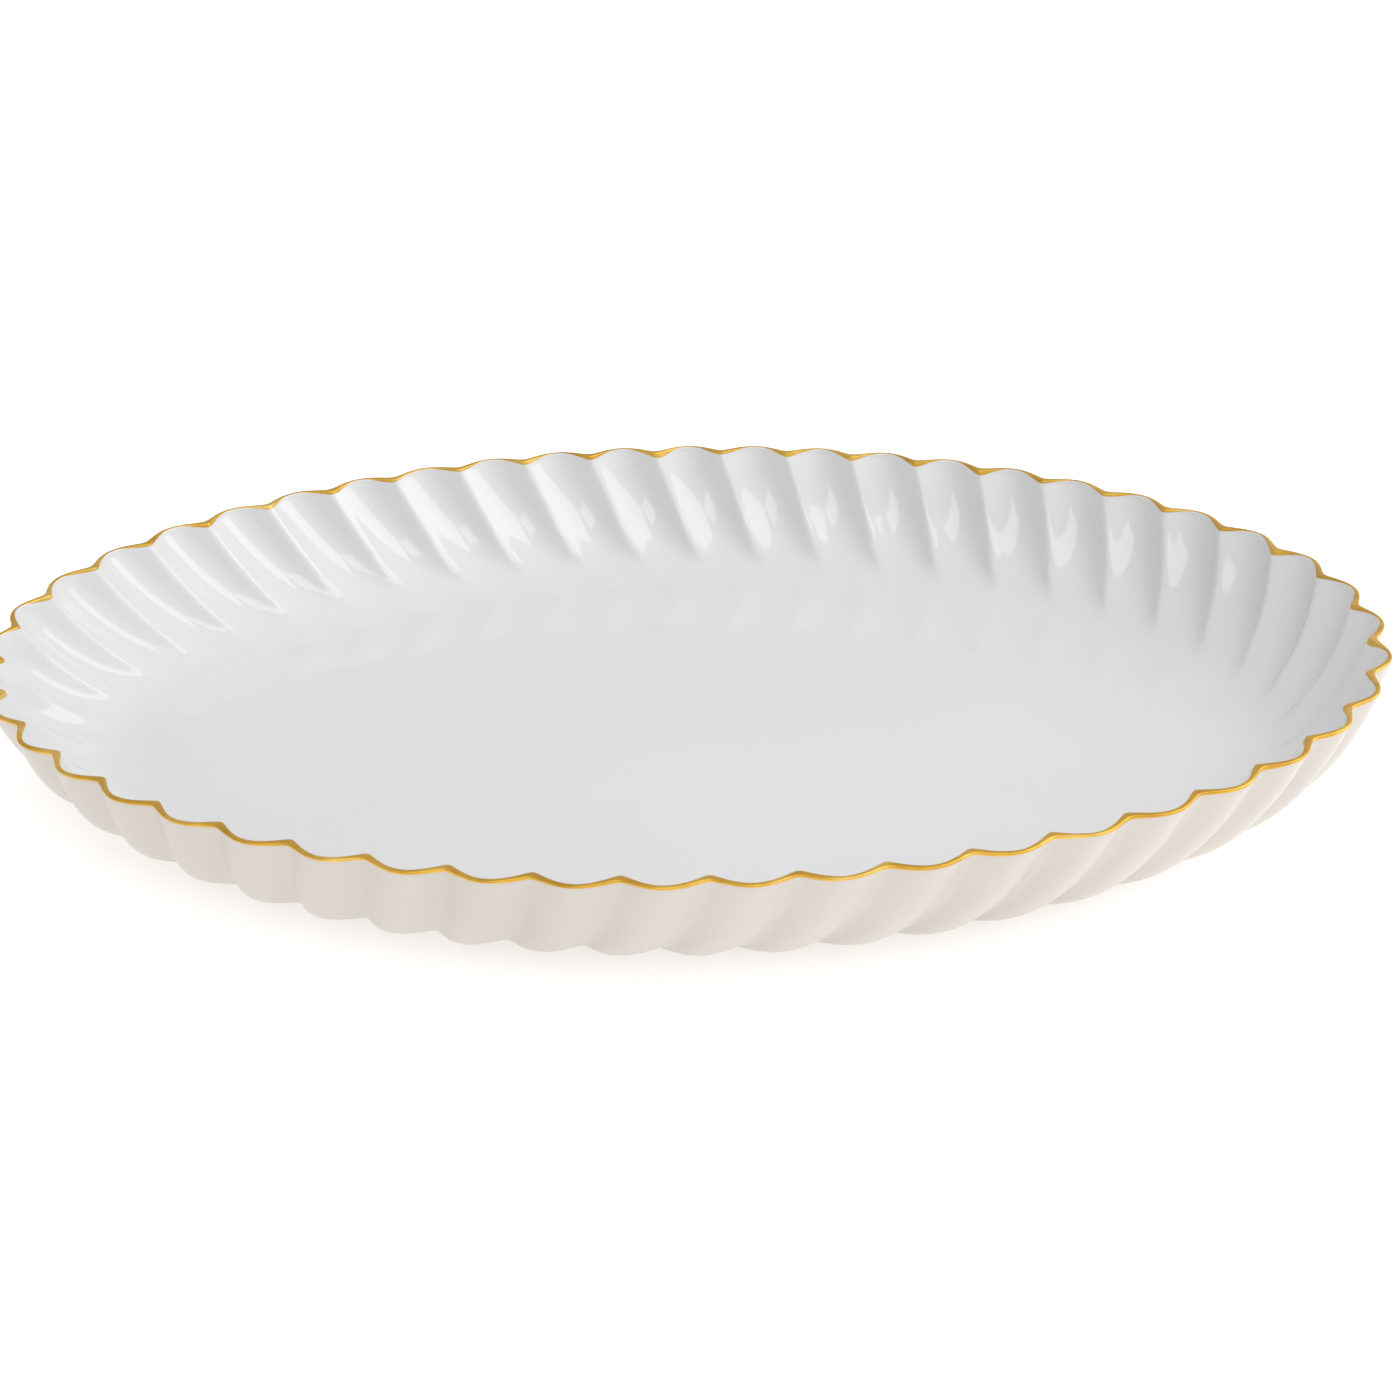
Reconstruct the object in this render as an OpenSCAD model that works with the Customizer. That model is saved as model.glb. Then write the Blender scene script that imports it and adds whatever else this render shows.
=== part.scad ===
// Oval china serving platter with a twisted, fluted wall and a gilded lip.
// +Z is up, the platter stands on z = 0, and X runs along its length.

/* [Platter] */
// Length over the lobes of the rim
length = 404; // [330:1:480]
// Width of the rim's oval as a share of its length
aspect = 0.70; // [0.6:0.01:0.9]
// How far the oval's quarters are drawn in, as a share, which makes its tips a little more pointed
quarter_in = 0.009; // [0:0.001:0.02]
// Height from the table to the top of the gilding
height = 40; // [34:0.5:46]
// Height of the well's floor above the table
floor_z = 7; // [6.5:0.1:9]

/* [Flutes] */
// Number of flutes round the wall
flutes = 48; // [40:2:56]
// Depth of the scallops on the lip's inner edge
scallop_in = 4.6; // [3:0.1:6]
// Depth of the scallops on the lip's outer edge
scallop_out = 3.6; // [1.5:0.1:4]
// Flute pitches that a flute turns on its way from the lip to the floor
flute_twist = 1.05; // [0:0.05:1.5]
// Turn of all the flutes together, in flute pitches
flute_shift = -0.2; // [-0.5:0.05:0.5]
// Softness of the outside grooves at the lip, 0.1 being nearly sharp
groove_soft = 0.3; // [0.1:0.05:1]
// Softness of the same grooves lower down the wall
groove_soft_low = 0.15; // [0.1:0.05:1]

/* [Wall] */
// Width of the lip at the middle of a lobe
lip_w = 1.6; // [1.4:0.1:3]
// Distance that the wall's inside takes from the lip's cusps to the flat floor
inner_run = 38; // [34:0.5:42]
// Distance that the wall's outside takes from the lip's cusps to the flat base
outer_run = 34; // [32:0.5:36]

/* [Foot] */
// Height of the foot ring, from the table to the glazed base
foot_h = 2.2; // [1.5:0.1:2.5]
// Distance of the foot ring's outer side from the lip's cusps
foot_inset = 38; // [37:0.5:44]
// Width of the foot ring
foot_w = 6; // [4:0.5:8]

/* [Layers] */
// Thickness of the glaze
glaze_t = 0.3; // [0.2:0.05:0.4]
// Thickness of the gilding
gilt_t = 0.12; // [0.1:0.01:0.2]
// Share of the outside profile that the gilding runs down
gilt_share = 0.012; // [0.008:0.002:0.04]

/* [Hidden] */

// Colours
bisque = [0.93, 0.91, 0.87];
white_glaze = [0.97, 0.97, 0.97];
ivory_glaze = [0.92, 0.89, 0.85];
gold = [0.85, 0.65, 0.22];

// Semi-axes of the oval that runs through the cusps of the lip's inner edge
semi_x = length / 2 - scallop_in - lip_w - gilt_t;
semi_y = semi_x * aspect;

// Top of the glazed lip, under the gilding, and the wall's rise above floor and base
lip_z = height - gilt_t;
floor_rise = lip_z - floor_z;
base_rise = lip_z - foot_h;

// Stations down the profile, and places of the columns within one flute
stations = [0, 0.15, 0.34, 0.55, 0.78, 1];
columns_in_flute = [0, 0.15, 0.38, 0.62, 0.85];

// The wall's four profiles, as cubic Bezier control points of inset and height.
// Insets count inwards from the oval through the cusps.
channel = [
    [-scallop_in, lip_z],
    [0.04 * inner_run, floor_z + 0.45 * floor_rise],
    [0.4 * inner_run, floor_z],
    [inner_run, floor_z]
];
ridge = [
    [0, lip_z],
    [0.2 * inner_run, floor_z + 0.42 * floor_rise],
    [0.53 * inner_run, floor_z],
    [inner_run, floor_z]
];
crest = [
    [-scallop_in - lip_w, lip_z],
    [0.04 * outer_run, foot_h + 0.37 * base_rise],
    [0.36 * outer_run, foot_h],
    [outer_run, foot_h]
];
groove = [
    [-scallop_in - lip_w + scallop_out, lip_z],
    [0.17 * outer_run, foot_h + 0.29 * base_rise],
    [0.64 * outer_run, foot_h],
    [outer_run, foot_h]
];

function bezier(p, t) =
    pow(1 - t, 3) * p[0] + 3 * pow(1 - t, 2) * t * p[1] + 3 * (1 - t) * t * t * p[2] + pow(t, 3) * p[3];

// Arc length round the oval against the angle that draws it
ARC_STEPS = 720;
function oval_point(angle) =
    [semi_x * cos(angle), semi_y * sin(angle)] * (1 - quarter_in * (1 - cos(4 * angle)));
function chord(i) = norm(oval_point((i + 1) * 360 / ARC_STEPS) - oval_point(i * 360 / ARC_STEPS));
arc_table = [for (i = 0, s = 0; i <= ARC_STEPS; s = s + chord(i), i = i + 1) [s, i * 360 / ARC_STEPS]];
perimeter = arc_table[ARC_STEPS][0];
function oval_angle(turn) = lookup((turn - floor(turn)) * perimeter, arc_table);

// A point at a share of the way round the oval, with an inset and a height
NORMAL_STEP = 0.1;
function oval_normal(angle) =
    let (along = oval_point(angle + NORMAL_STEP) - oval_point(angle - NORMAL_STEP))
    [along[1], -along[0]] / norm(along);
function place(turn, at) =
    let (angle = oval_angle(turn))
    let (flat = oval_point(angle) - at[0] * oval_normal(angle))
    [flat[0], flat[1], at[1]];

// Columns of points, counted in flute pitches, each following its flute down the wall
columns = [for (f = [0 : flutes - 1]) for (c = columns_in_flute) f + c];
COLS = len(columns);
function column_turn(u, t) = (u + flute_shift - flute_twist * t) / flutes;

// How much of the ridge or groove, against the channel or crest, a column has.
// The grooves reach their lower softness at this share of the profile.
SOFT_REACH = 0.6;
function ridge_share(u) = 1 - abs(sin(180 * u));
function soft_at(t) = groove_soft + (groove_soft_low - groove_soft) * min(t / SOFT_REACH, 1);
function groove_share(u, t) =
    let (soft = soft_at(t), top = norm([1, soft]))
    (top - norm([sin(180 * u), soft])) / (top - soft);
function mix(p, q, share) = p * (1 - share) + q * share;

// The inside and outside of the wall, sunk by a depth into the clay
function inside_at(u, t, depth) =
    mix(bezier(channel, t), bezier(ridge, t), ridge_share(u)) - depth * [cos(90 * t), sin(90 * t)];
function outside_at(u, t, depth) =
    mix(bezier(crest, t), bezier(groove, t), groove_share(u, t)) + depth * [cos(90 * t), sin(90 * t)];

function inside_ring(t, depth) = [for (u = columns) place(column_turn(u, t), inside_at(u, t, depth))];
function outside_ring(t, depth) = [for (u = columns) place(column_turn(u, t), outside_at(u, t, depth))];
function flat_ring(inset, z) = [for (u = columns) place(column_turn(u, 1), [inset, z])];
function outline(inset) = [for (p = flat_ring(inset, 0)) [p[0], p[1]]];

// The same rings from the floor up to the lip, and from the lip down to the base
function inside_rise(depth) = [for (i = [len(stations) - 1 : -1 : 0]) inside_ring(stations[i], depth)];
function inside_fall(depth) = [for (t = stations) inside_ring(t, depth)];
function outside_rise(depth) = [for (i = [len(stations) - 1 : -1 : 0]) outside_ring(stations[i], depth)];
function outside_fall(depth) = [for (t = stations) outside_ring(t, depth)];

// The outside again, with a ring where the gilding ends
function gilded_fall(depth) = [
    outside_ring(0, depth),
    outside_ring(gilt_share, depth),
    for (i = [1 : len(stations) - 1]) outside_ring(stations[i], depth)
];

function band_faces(r, s) = [
    for (c = [0 : COLS - 1])
        let (d = (c + 1) % COLS)
        each [
            [r * COLS + c, r * COLS + d, s * COLS + d],
            [r * COLS + c, s * COLS + d, s * COLS + c]
        ]
];

// A solid skinned over a stack of rings, from its top cap out and down to its bottom cap
module capped_stack(rings) {
    last = len(rings) - 1;
    polyhedron(
        points = [for (ring = rings) each ring],
        faces = [
            [for (c = [COLS - 1 : -1 : 0]) c],
            for (r = [0 : last - 1]) each band_faces(r, r + 1),
            [for (c = [0 : COLS - 1]) last * COLS + c]
        ],
        convexity = 10
    );
}

// A solid skinned over a closed loop of rings
module looped_stack(rings) {
    n = len(rings);
    polyhedron(
        points = [for (ring = rings) each ring],
        faces = [for (r = [0 : n - 1]) each band_faces(r, (r + 1) % n)],
        convexity = 10
    );
}

// Fired clay: the well and the fluted wall, up to the lip
module china_body() {
    color(bisque) capped_stack(concat(inside_rise(glaze_t), outside_fall(glaze_t)));
}

// Unglazed ring that the platter stands on
module foot_ring() {
    color(bisque) linear_extrude(foot_h + glaze_t) difference() {
        polygon(outline(foot_inset));
        polygon(outline(foot_inset + foot_w));
    }
}

// White glaze over the well and the inside of the wall
module inner_glaze() {
    color(white_glaze) capped_stack(concat(inside_rise(0), inside_fall(glaze_t)));
}

// Ivory glaze over the outside of the wall, in to the foot ring
module outer_glaze() {
    color(ivory_glaze) looped_stack(concat(
        gilded_fall(0),
        [flat_ring(foot_inset, foot_h), flat_ring(foot_inset, foot_h + glaze_t)],
        outside_rise(glaze_t)
    ));
}

// Ivory glaze on the base, inside the foot ring
module base_glaze() {
    color(ivory_glaze) translate([0, 0, foot_h]) linear_extrude(glaze_t)
        polygon(outline(foot_inset + foot_w));
}

// Gold lustre over the lip and a little way down its outside
function gilt_edge(t) = [for (u = columns) place(column_turn(u, t), outside_at(u, t, 0) - [gilt_t, 0])];
function raised(ring, by) = [for (p = ring) p + [0, 0, by]];
module gilt_rim() {
    color(gold) looped_stack([
        raised(inside_ring(0, 0), gilt_t),
        raised(gilt_edge(0), gilt_t),
        gilt_edge(gilt_share),
        outside_ring(gilt_share, 0),
        outside_ring(0, 0),
        inside_ring(0, 0)
    ]);
}

china_body();
foot_ring();
inner_glaze();
outer_glaze();
base_glaze();
gilt_rim();
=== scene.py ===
"""Oval china serving platter with a twisted, fluted wall and a gilded lip."""
import math

import bpy
import numpy as np
from mathutils import Matrix, Vector


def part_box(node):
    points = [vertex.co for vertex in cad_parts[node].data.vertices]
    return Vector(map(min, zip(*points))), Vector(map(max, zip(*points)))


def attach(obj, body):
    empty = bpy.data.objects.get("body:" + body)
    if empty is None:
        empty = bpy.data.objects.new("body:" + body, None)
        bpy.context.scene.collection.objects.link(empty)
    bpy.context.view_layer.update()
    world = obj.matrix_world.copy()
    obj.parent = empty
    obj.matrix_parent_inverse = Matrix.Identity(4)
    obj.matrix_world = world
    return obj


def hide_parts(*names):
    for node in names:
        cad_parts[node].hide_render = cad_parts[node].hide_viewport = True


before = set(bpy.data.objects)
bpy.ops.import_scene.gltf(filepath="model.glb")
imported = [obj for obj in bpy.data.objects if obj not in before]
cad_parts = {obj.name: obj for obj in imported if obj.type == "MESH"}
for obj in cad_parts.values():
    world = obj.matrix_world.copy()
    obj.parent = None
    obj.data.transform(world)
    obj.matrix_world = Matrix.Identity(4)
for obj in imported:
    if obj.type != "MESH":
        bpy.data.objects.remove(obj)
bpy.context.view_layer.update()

MM = 0.001
TINY = 1e-12

# ---------------------------------------------------------------- places taken from the frame
GLAZE_LOW, GLAZE_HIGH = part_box("inner_glaze")
BASE_LOW, BASE_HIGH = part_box("base_glaze")
FOOT_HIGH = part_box("foot_ring")[1]
GLAZE = BASE_HIGH[2] - BASE_LOW[2]
LIP = GLAZE_HIGH[2]
FLOOR = GLAZE_LOW[2] + GLAZE
BASE = BASE_LOW[2]
FOOT_WIDTH = FOOT_HIGH[0] - BASE_HIGH[0]

# ---------------------------------------------------------------- design, as in the CAD model
# Insets count inwards, at right angles to the oval that runs through the lip's cusps.
LENGTH = 404 * MM
ASPECT = 0.70
QUARTER_IN = 0.009
FLUTES = 48
SCALLOP_IN = 4.6 * MM
SCALLOP_OUT = 3.6 * MM
LIP_WIDTH = 1.6 * MM
GILT = 0.12 * MM
INNER_RUN = 38 * MM
OUTER_RUN = 34 * MM
FOOT_INSET = 38 * MM
TWIST = 1.05
SHIFT = -0.2
GROOVE_SOFT = 0.3
GROOVE_SOFT_LOW = 0.15
SOFT_REACH = 0.6
SEMI_X = LENGTH / 2 - SCALLOP_IN - LIP_WIDTH - GILT
SEMI_Y = SEMI_X * ASPECT

# ---------------------------------------------------------------- finish of the visual model
# Mesh density: columns in a flute, rows down each side of the wall, and rows over the lip
COLUMNS_IN_FLUTE = 20
WALL_ROWS = 44
LIP_ARC = 6
LIP_FLAT = 4
LIP_MIDDLE = WALL_ROWS + LIP_ARC + LIP_FLAT // 2
OVAL_STEPS = 14400
SHARP_ANGLE = math.radians(55)

# Wall: the lip's rounding, the ridges' softness, where the inside flutes run out, and how uneven they are
LIP_ROUND = 0.55 * MM
RIDGE_SOFT = 0.13
RIDGE_SOFT_LOW = 0.32
FADE_FROM = 0.5
FADE_TO = 0.9
MOST_RELIEF = 1.1
FLOOR_DISH = -0.25 * MM
UNEVEN = 0.035
UNEVEN_SEED = 7

# Gilding: its reach down each side of the lip's middle on lobes and cusps, and how far its edges wander
GILT_LIFT = 0.06 * MM
GILT_EDGE_SHARE = 0.2
GILT_ROWS = 18
GILT_SOFT = 0.25
GILT_IN_LOBE = 0.45 * MM
GILT_IN_CUSP = 2.1 * MM
GILT_IN_WANDER = 0.12
GILT_IN_SEED = 9
GILT_OUT_LOBE = 1.2 * MM
GILT_OUT_CUSP = 1.8 * MM
GILT_OUT_WANDER = 0.07
GILT_OUT_SEED = 8

# Foot ring
FOOT_COLUMNS = 480
FOOT_ROUND = 1.1 * MM
FOOT_ARC = 6

# Rings that fill a flat, as shares of the way from its centre to its edge
DISC_SHARES = (0.05, 0.2, 0.4, 0.6, 0.78, 0.9, 0.97)

# ---------------------------------------------------------------- studio and camera
FLOOR_HALF = 6.0
FLOOR_TONE = 0.95
FLOOR_ROUGHNESS = 0.9
FLOOR_GLOW = 0.4
WORLD_MEAN = 0.76
WORLD_SLOPE = (0.20, -0.13, 0.0)
# Softboxes: name, low end, high end, width in metres, and power in watts
SOFTBOXES = (
    ("right_softbox", (1.62, 0.50, 0.36), (0.62, -0.10, 1.60), 0.8, 7),
    ("front_softbox", (0.50, -0.35, 1.60), (-0.30, -1.05, 1.25), 0.45, 2.6),
)
CAMERA_TARGET = (9.07 * MM, -43.17 * MM, 39.9 * MM)
CAMERA_AZIMUTH = math.radians(4.62)
CAMERA_HEIGHT = math.radians(27.12)
CAMERA_DISTANCE = 762.1 * MM
CAMERA_ROLL = math.radians(-2.06)
CAMERA_LENS = 71.4
CAMERA_SENSOR = 36
CAMERA_REACH = 50


def rounded_wall(start_inset, controls, run, level):
    """Control points of a wall profile: inset and height, from the lip down to a flat level."""
    low_lip = LIP - LIP_ROUND
    (inset_a, height_a), inset_b = controls
    return np.array([
        (start_inset, low_lip),
        (inset_a * run, level + height_a * (low_lip - level)),
        (inset_b * run, level),
        (run, level),
    ])


CHANNEL = rounded_wall(-SCALLOP_IN, ((0.04, 0.45), 0.40), INNER_RUN, FLOOR)
RIDGE = rounded_wall(0, ((0.20, 0.42), 0.53), INNER_RUN, FLOOR)
CREST = rounded_wall(-SCALLOP_IN - LIP_WIDTH, ((0.04, 0.37), 0.36), OUTER_RUN, BASE)
GROOVE = rounded_wall(-SCALLOP_IN - LIP_WIDTH + SCALLOP_OUT, ((0.17, 0.29), 0.64), OUTER_RUN, BASE)


# ---------------------------------------------------------------- the oval
def oval_table():
    """Arc length, points and outward normals round the oval through the lip's cusps."""
    angle = np.linspace(0, 2 * math.pi, OVAL_STEPS + 1)
    drawn_in = 1 - QUARTER_IN * (1 - np.cos(4 * angle))
    point = np.stack([SEMI_X * np.cos(angle) * drawn_in, SEMI_Y * np.sin(angle) * drawn_in], 1)
    length = np.r_[0, np.cumsum(np.linalg.norm(np.diff(point, axis=0), axis=1))]
    along = np.gradient(point, length, axis=0)
    along /= np.linalg.norm(along, axis=1)[:, None]
    return length, point, np.stack([along[:, 1], -along[:, 0]], 1)


OVAL_LENGTH, OVAL_POINT, OVAL_NORMAL = oval_table()


def place(turn, inset, height):
    """Points at shares of the way round the oval, moved inwards and up."""
    at = (turn % 1) * OVAL_LENGTH[-1]
    point = [np.interp(at, OVAL_LENGTH, OVAL_POINT[:, i]) for i in (0, 1)]
    normal = [np.interp(at, OVAL_LENGTH, OVAL_NORMAL[:, i]) for i in (0, 1)]
    return np.stack([point[0] - inset * normal[0], point[1] - inset * normal[1], height + 0 * at], -1)


# ---------------------------------------------------------------- columns and their unevenness
def flute_columns():
    """Column places in flute pitches, closer together at the cusps."""
    step = (1 - np.cos(np.pi * np.arange(COLUMNS_IN_FLUTE) / COLUMNS_IN_FLUTE)) / 2
    return (np.arange(FLUTES)[:, None] + step[None, :]).ravel()


def waves(u, seed, longest=3, shortest=17):
    """A smooth closed random line round the oval, about one high."""
    draw = np.random.default_rng(seed)
    line = np.zeros_like(u)
    for count in range(longest, shortest + 1):
        line += np.sin(2 * math.pi * (count * u / FLUTES + draw.random())) * draw.normal()
    return line / math.sqrt((shortest - longest + 1) / 2)


def bezier(points, t):
    """Point of a cubic curve at a share of the way along it."""
    return (
        (1 - t) ** 3 * points[0]
        + 3 * (1 - t) ** 2 * t * points[1]
        + 3 * (1 - t) * t * t * points[2]
        + t ** 3 * points[3]
    )


def share(u, soft):
    """One at a cusp and zero at the middle of a flute."""
    top = np.hypot(1, soft)
    return (top - np.hypot(np.sin(math.pi * u), soft)) / (top - soft)


def wall_row(u, t, lobe, cusp, soft, relief):
    """Inset and height of one row of a wall, between its profiles at a lobe and at a cusp."""
    depth = relief * (1 + UNEVEN * waves(u, UNEVEN_SEED))
    part = np.clip(share(u, soft) * depth, 0, MOST_RELIEF)[:, None]
    return bezier(lobe, t) * (1 - part) + bezier(cusp, t) * part


def soft_at(t, lip, low):
    """Softness of ridges or grooves, which changes on the way down the wall."""
    return lip + (low - lip) * min(t / SOFT_REACH, 1)


def fade(t):
    """Share of the inside's relief that is left; the flutes run out before the floor."""
    reach = min(max((t - FADE_FROM) / (FADE_TO - FADE_FROM), 0), 1)
    return 1 - reach * reach * (3 - 2 * reach)


def inside_row(u, t):
    return wall_row(u, t, CHANNEL, RIDGE, soft_at(t, RIDGE_SOFT, RIDGE_SOFT_LOW), fade(t))


def outside_row(u, t):
    return wall_row(u, t, CREST, GROOVE, soft_at(t, GROOVE_SOFT, GROOVE_SOFT_LOW), 1)


def level_row(inset, height):
    """A row of one height, with an inset for each column."""
    return np.stack([inset, np.full_like(inset, height)], 1)


def quarter_round(radius, steps):
    """Steps round a quarter circle, from its side to its end: how far in and how far along."""
    angles = [math.pi / 2 * step / steps for step in range(1, steps + 1)]
    return [(radius * (1 - math.cos(angle)), radius * math.sin(angle)) for angle in angles]


def lip_rows(u):
    """Rows over the lip: rounded at both edges and flat between them."""
    inner, outer = inside_row(u, 0)[:, 0], outside_row(u, 0)[:, 0]
    low = LIP - LIP_ROUND
    rounding = quarter_round(LIP_ROUND, LIP_ARC)
    rows = [level_row(inner - across, low + rise) for across, rise in rounding]
    for step in range(1, LIP_FLAT):
        mid = step / LIP_FLAT
        rows.append(level_row((inner - LIP_ROUND) * (1 - mid) + (outer + LIP_ROUND) * mid, LIP))
    rows += [level_row(outer + across, low + rise) for across, rise in rounding[::-1]]
    return rows


def section(u):
    """Rows of the visible profile, from the floor over the lip to the foot, and how far each has twisted."""
    down = np.linspace(0, 1, WALL_ROWS + 1)
    rows = [(inside_row(u, t), t) for t in down[::-1]]
    rows += [(row, 0) for row in lip_rows(u)]
    rows += [(outside_row(u, t), t) for t in down]
    rows.append((level_row(np.full_like(u, FOOT_INSET), BASE), 1))
    return np.stack([row for row, _ in rows]), np.array([[t] for _, t in rows])


def lifted(rows, lift):
    """The profile moved out of the clay, at right angles to itself."""
    along = np.gradient(rows, axis=0)
    along /= np.linalg.norm(along, axis=2)[:, :, None] + TINY
    return rows + lift * np.stack([along[:, :, 1], -along[:, :, 0]], 2)


def twisted(u, rows, t):
    """Profile rows placed round the oval, each turned as far as its flutes have twisted."""
    turn = (u + SHIFT - TWIST * t) / FLUTES
    return place(turn, rows[:, :, 0], rows[:, :, 1])


# ---------------------------------------------------------------- meshes
def skin(name, rings, closed, caps=(False, False)):
    """A mesh over a stack of rings; closed joins last to first, and caps fill the two end rings."""
    count, columns = rings.shape[:2]
    grid = np.arange(count * columns).reshape(count, columns)
    above = grid if closed else grid[:-1]
    below = np.roll(grid, -1, axis=0) if closed else grid[1:]
    quads = np.stack([above, below, np.roll(below, -1, axis=1), np.roll(above, -1, axis=1)], -1)
    faces = quads.reshape(-1, 4).tolist()
    if caps[0]:
        faces.append(grid[0].tolist())
    if caps[1]:
        faces.append(grid[-1][::-1].tolist())
    mesh = bpy.data.meshes.new(name)
    mesh.from_pydata(rings.reshape(-1, 3).tolist(), [], faces)
    mesh.update()
    mesh.shade_smooth()
    mesh.set_sharp_from_angle(angle=SHARP_ANGLE)
    piece = bpy.data.objects.new(name, mesh)
    bpy.context.scene.collection.objects.link(piece)
    return piece


def disc_rings(edge, dish):
    """Rings that fill the flat inside an edge ring, sunk a little towards its centre."""
    rings = []
    for part in DISC_SHARES:
        ring = edge * np.array([part, part, 1])
        ring[:, 2] += dish * (1 - part * part) ** 2
        rings.append(ring)
    return rings


def add_piece(piece, node, material):
    """Hides the CAD node that a piece stands for, hangs the piece under the root body, and gives it its
    finish.
    """
    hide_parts(node)
    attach(piece, "root")
    piece.data.materials.append(material)


def wall_pieces(materials):
    """The clay body, and its glazes inside and outside, which meet in the middle of the lip."""
    u = flute_columns()
    rows, t = section(u)
    visible = twisted(u, rows, t)
    clay = twisted(u, lifted(rows, -GLAZE), t)

    inner = disc_rings(visible[0], FLOOR_DISH) + list(visible[: LIP_MIDDLE + 1])
    under = list(clay[: LIP_MIDDLE + 1][::-1]) + disc_rings(clay[0], FLOOR_DISH)[::-1]
    piece = skin("inner_glaze_coat", np.stack(inner + under), closed=False, caps=(True, True))
    add_piece(piece, "inner_glaze", materials["white_glaze"])

    outer = list(visible[LIP_MIDDLE:]) + list(clay[LIP_MIDDLE:][::-1])
    piece = skin("outer_glaze_coat", np.stack(outer), closed=True)
    add_piece(piece, "outer_glaze", materials["ivory_glaze"])

    body = disc_rings(clay[0], FLOOR_DISH) + list(clay) + disc_rings(clay[-1], 0)[::-1]
    piece = skin("platter_body", np.stack(body), closed=False, caps=(True, True))
    add_piece(piece, "china_body", materials["bisque"])


def resampled(rows, t, start, end):
    """Gilding rows between two distances from the lip's middle, which differ from column to column."""
    columns = rows.shape[1]
    steps = np.linalg.norm(np.diff(rows, axis=0), axis=2)
    length = np.vstack([np.zeros((1, columns)), np.cumsum(steps, axis=0)])
    length -= length[LIP_MIDDLE]
    picked = np.empty((GILT_ROWS, columns, 2))
    picked_t = np.empty((GILT_ROWS, columns))
    for column in range(columns):
        at = np.linspace(start[column], end[column], GILT_ROWS)
        for axis in (0, 1):
            picked[:, column, axis] = np.interp(at, length[:, column], rows[:, column, axis])
        picked_t[:, column] = np.interp(at, length[:, column], t[:, 0])
    return picked, picked_t


def gilt_reach(u, lobe, cusp, wander):
    """Distance from the lip's middle to the gilding's edge, wider on the cusps."""
    return (lobe + (cusp - lobe) * share(u, GILT_SOFT)) * (1 + wander)


def gilt_piece(materials):
    """Gold lustre brushed over the lip: wide on the cusps, narrow on the lobes, with uneven edges."""
    u = flute_columns()
    rows, t = section(u)
    inner_wander = GILT_IN_WANDER * waves(u, GILT_IN_SEED, longest=9, shortest=90)
    outer_wander = GILT_OUT_WANDER * waves(u, GILT_OUT_SEED, longest=5, shortest=70)
    start = -gilt_reach(u, GILT_IN_LOBE, GILT_IN_CUSP, inner_wander)
    end = gilt_reach(u, GILT_OUT_LOBE, GILT_OUT_CUSP, outer_wander)
    picked, picked_t = resampled(rows, t, start, end)
    thickness = np.full(GILT_ROWS, GILT_LIFT)
    thickness[[0, -1]] *= GILT_EDGE_SHARE
    raised = twisted(u, picked + (lifted(picked, 1) - picked) * thickness[:, None, None], picked_t)
    under = twisted(u, lifted(picked, -GILT_LIFT), picked_t)
    piece = skin("gilt_lip_band", np.stack(list(raised) + list(under[::-1])), closed=True)
    add_piece(piece, "gilt_rim", materials["gold_lustre"])


def foot_pieces(materials):
    """The ground foot ring, rounded below, and the glazed base inside it."""
    turn = np.arange(FOOT_COLUMNS) / FOOT_COLUMNS
    outer, inner = FOOT_INSET, FOOT_INSET + FOOT_WIDTH
    rounding = quarter_round(FOOT_ROUND, FOOT_ARC)
    profile = [(outer, BASE + GLAZE), (outer, BASE), (outer, FOOT_ROUND)]
    profile += [(outer + across, FOOT_ROUND - drop) for across, drop in rounding]
    profile += [(inner - across, FOOT_ROUND - drop) for across, drop in rounding[::-1]]
    profile += [(inner, FOOT_ROUND), (inner, BASE), (inner, BASE + GLAZE)]
    piece = skin("foot_ring_ground", np.stack([place(turn, *point) for point in profile]), closed=True)
    add_piece(piece, "foot_ring", materials["foot_bisque"])

    edge = place(turn, inner, BASE)
    back = place(turn, inner, BASE + GLAZE)
    rings = [disc_rings(back, 0)[0], back, edge] + disc_rings(edge, 0)[::-1]
    piece = skin("base_glaze_coat", np.stack(rings), closed=False, caps=(True, True))
    add_piece(piece, "base_glaze", materials["ivory_glaze"])


# ---------------------------------------------------------------- materials
def node_material(name):
    material = bpy.data.materials.new(name)
    material.use_nodes = True
    tree = material.node_tree
    return material, tree, tree.nodes["Principled BSDF"]


def noise_node(tree, scale, detail, roughness=0.55):
    """Noise in the piece's own coordinates, which are metres."""
    coords = tree.nodes.get("Coords") or tree.nodes.new("ShaderNodeTexCoord")
    coords.name = "Coords"
    node = tree.nodes.new("ShaderNodeTexNoise")
    node.inputs["Scale"].default_value = scale
    node.inputs["Detail"].default_value = detail
    node.inputs["Roughness"].default_value = roughness
    tree.links.new(coords.outputs["Object"], node.inputs["Vector"])
    return node


def ramp_node(tree, source, stops):
    """A colour ramp through stops of position and colour."""
    node = tree.nodes.new("ShaderNodeValToRGB")
    node.color_ramp.elements[0].position = stops[0][0]
    node.color_ramp.elements[0].color = (*stops[0][1], 1)
    node.color_ramp.elements[1].position = stops[-1][0]
    node.color_ramp.elements[1].color = (*stops[-1][1], 1)
    for position, colour in stops[1:-1]:
        element = node.color_ramp.elements.new(position)
        element.color = (*colour, 1)
    tree.links.new(source, node.inputs["Fac"])
    return node


def range_node(tree, source, low, high):
    node = tree.nodes.new("ShaderNodeMapRange")
    node.inputs["To Min"].default_value = low
    node.inputs["To Max"].default_value = high
    tree.links.new(source, node.inputs["Value"])
    return node


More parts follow.
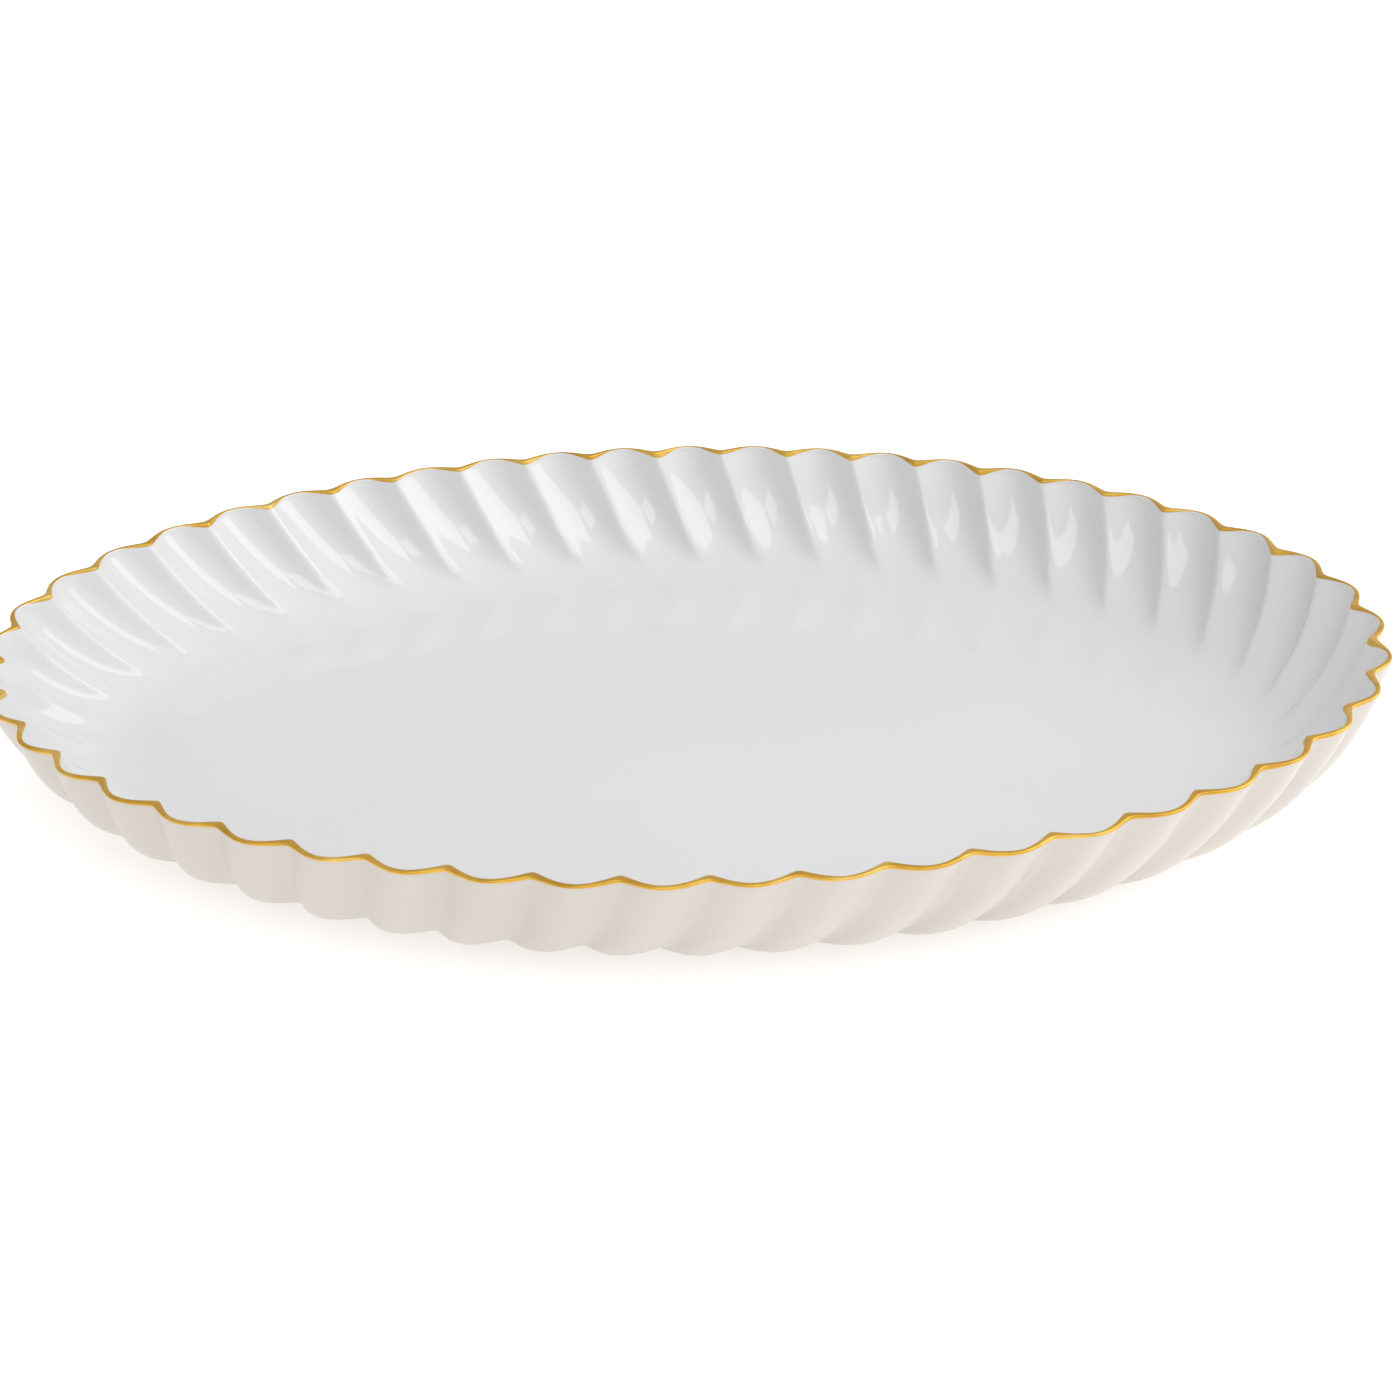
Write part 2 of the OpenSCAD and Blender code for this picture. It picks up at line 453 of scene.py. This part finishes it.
def bump_node(tree, height, distance, strength, previous=None):
    node = tree.nodes.new("ShaderNodeBump")
    node.inputs["Distance"].default_value = distance
    node.inputs["Strength"].default_value = strength
    tree.links.new(height, node.inputs["Height"])
    if previous:
        tree.links.new(previous.outputs["Normal"], node.inputs["Normal"])
    return node


def glaze_material(name, pale, deep, rough, coat):
    """Gloss glaze: slow drifts of tone and gloss, a gentle ripple and fine peel."""
    material, tree, shader = node_material(name)
    drift = noise_node(tree, scale=9, detail=2)
    tone = ramp_node(tree, drift.outputs["Fac"], [(0.35, deep), (0.65, pale)])
    tree.links.new(tone.outputs["Color"], shader.inputs["Base Color"])
    gloss = noise_node(tree, scale=60, detail=4)
    spread = range_node(tree, gloss.outputs["Fac"], *rough)
    tree.links.new(spread.outputs["Result"], shader.inputs["Roughness"])
    ripple = noise_node(tree, scale=45, detail=2)
    peel = noise_node(tree, scale=420, detail=2)
    first = bump_node(tree, ripple.outputs["Fac"], distance=0.4 * MM, strength=0.25)
    second = bump_node(tree, peel.outputs["Fac"], distance=0.05 * MM, strength=0.25, previous=first)
    tree.links.new(second.outputs["Normal"], shader.inputs["Normal"])
    shader.inputs["IOR"].default_value = 1.5
    shader.inputs["Coat Weight"].default_value = coat
    shader.inputs["Coat Roughness"].default_value = 0.07
    shader.inputs["Coat IOR"].default_value = 1.55
    tree.links.new(second.outputs["Normal"], shader.inputs["Coat Normal"])
    return material


def bisque_material(name, pale, deep):
    """Unglazed fired clay: matt and fine-grained."""
    material, tree, shader = node_material(name)
    grain = noise_node(tree, scale=900, detail=6, roughness=0.7)
    tone = ramp_node(tree, grain.outputs["Fac"], [(0.3, deep), (0.6, pale)])
    tree.links.new(tone.outputs["Color"], shader.inputs["Base Color"])
    rough = range_node(tree, grain.outputs["Fac"], low=0.7, high=0.9)
    tree.links.new(rough.outputs["Result"], shader.inputs["Roughness"])
    bump = bump_node(tree, grain.outputs["Fac"], distance=0.1 * MM, strength=0.5)
    tree.links.new(bump.outputs["Normal"], shader.inputs["Normal"])
    return material


def gold_material():
    """Burnished gold lustre, brushed on: deeper where it pooled and paler where it is thin."""
    material, tree, shader = node_material("gold_lustre")
    strokes = noise_node(tree, scale=70, detail=4, roughness=0.6)
    tone = ramp_node(
        tree,
        strokes.outputs["Fac"],
        [(0.3, (0.56, 0.30, 0.035)), (0.5, (0.72, 0.42, 0.06)), (0.7, (0.86, 0.58, 0.16))],
    )
    tree.links.new(tone.outputs["Color"], shader.inputs["Base Color"])
    grain = noise_node(tree, scale=600, detail=4)
    rough = range_node(tree, grain.outputs["Fac"], low=0.22, high=0.42)
    tree.links.new(rough.outputs["Result"], shader.inputs["Roughness"])
    bump = bump_node(tree, grain.outputs["Fac"], distance=0.06 * MM, strength=0.4)
    tree.links.new(bump.outputs["Normal"], shader.inputs["Normal"])
    shader.inputs["Metallic"].default_value = 0.85
    return material


def make_materials():
    """The finishes, by the name of the record's slot that each one stands for."""
    white_pale, white_deep = (0.77, 0.77, 0.77), (0.75, 0.75, 0.753)
    ivory_pale, ivory_deep = (0.615, 0.572, 0.522), (0.59, 0.545, 0.495)
    return {
        "white_glaze": glaze_material("white_glaze", white_pale, white_deep, rough=(0.06, 0.10), coat=0.35),
        "ivory_glaze": glaze_material("ivory_glaze", ivory_pale, ivory_deep, rough=(0.30, 0.40), coat=0),
        "bisque": bisque_material("bisque", pale=(0.80, 0.76, 0.70), deep=(0.72, 0.68, 0.61)),
        "foot_bisque": bisque_material("foot_bisque", pale=(0.70, 0.64, 0.55), deep=(0.58, 0.52, 0.44)),
        "gold_lustre": gold_material(),
    }


# ---------------------------------------------------------------- studio
def add_floor():
    """A plain white floor with a faint glow, which lightens the platter's shadow."""
    mesh = bpy.data.meshes.new("studio_floor")
    corners = [(x * FLOOR_HALF, y * FLOOR_HALF, 0) for x, y in ((-1, -1), (1, -1), (1, 1), (-1, 1))]
    mesh.from_pydata(corners, [], [(0, 1, 2, 3)])
    floor = bpy.data.objects.new("studio_floor", mesh)
    bpy.context.scene.collection.objects.link(floor)
    material, _, shader = node_material("studio_floor")
    shader.inputs["Base Color"].default_value = (FLOOR_TONE, FLOOR_TONE, FLOOR_TONE, 1)
    shader.inputs["Roughness"].default_value = FLOOR_ROUGHNESS
    shader.inputs["Emission Color"].default_value = (1, 1, 1, 1)
    shader.inputs["Emission Strength"].default_value = FLOOR_GLOW
    mesh.materials.append(material)


def add_softbox(name, low_end, high_end, width, power):
    """A rectangular softbox between two end points, facing the platter."""
    low_end, high_end = Vector(low_end), Vector(high_end)
    middle = (low_end + high_end) / 2
    along = (high_end - low_end).normalized()
    back = (middle - middle.dot(along) * along).normalized()
    across = back.cross(along)
    light = bpy.data.lights.new(name, "AREA")
    light.shape = "RECTANGLE"
    light.size = (high_end - low_end).length
    light.size_y = width
    light.energy = power
    lamp = bpy.data.objects.new(name, light)
    lamp.matrix_world = Matrix.Translation(middle) @ Matrix((along, across, back)).transposed().to_4x4()
    bpy.context.scene.collection.objects.link(lamp)


def add_world():
    """Soft white all round, a little brighter towards the right and the front."""
    world = bpy.data.worlds.new("studio")
    world.use_nodes = True
    tree = world.node_tree
    coords = tree.nodes.new("ShaderNodeTexCoord")
    slope = tree.nodes.new("ShaderNodeVectorMath")
    slope.operation = "DOT_PRODUCT"
    slope.inputs[1].default_value = WORLD_SLOPE
    tree.links.new(coords.outputs["Generated"], slope.inputs[0])
    total = tree.nodes.new("ShaderNodeMath")
    total.inputs[1].default_value = WORLD_MEAN
    tree.links.new(slope.outputs["Value"], total.inputs[0])
    tree.links.new(total.outputs["Value"], tree.nodes["Background"].inputs["Strength"])
    tree.nodes["Background"].inputs["Color"].default_value = (1, 1, 1, 1)
    bpy.context.scene.world = world


def add_camera():
    """The photograph's camera, looking at a target from an azimuth, a height, and a distance."""
    camera = bpy.data.cameras.new("camera")
    camera.lens = CAMERA_LENS
    camera.sensor_width = CAMERA_SENSOR
    camera.clip_end = CAMERA_REACH
    holder = bpy.data.objects.new("camera", camera)
    level = math.cos(CAMERA_HEIGHT)
    away = Vector((
        math.sin(CAMERA_AZIMUTH) * level,
        -math.cos(CAMERA_AZIMUTH) * level,
        math.sin(CAMERA_HEIGHT),
    ))
    look = (-away).to_track_quat("-Z", "Y").to_matrix().to_4x4()
    roll = Matrix.Rotation(CAMERA_ROLL, 4, "Z")
    holder.matrix_world = Matrix.Translation(Vector(CAMERA_TARGET) + away * CAMERA_DISTANCE) @ look @ roll
    bpy.context.scene.collection.objects.link(holder)
    bpy.context.scene.camera = holder
    bpy.context.scene.view_settings.view_transform = "Standard"


add_camera()
materials = make_materials()
wall_pieces(materials)
gilt_piece(materials)
foot_pieces(materials)
add_floor()
add_world()
for softbox in SOFTBOXES:
    add_softbox(*softbox)
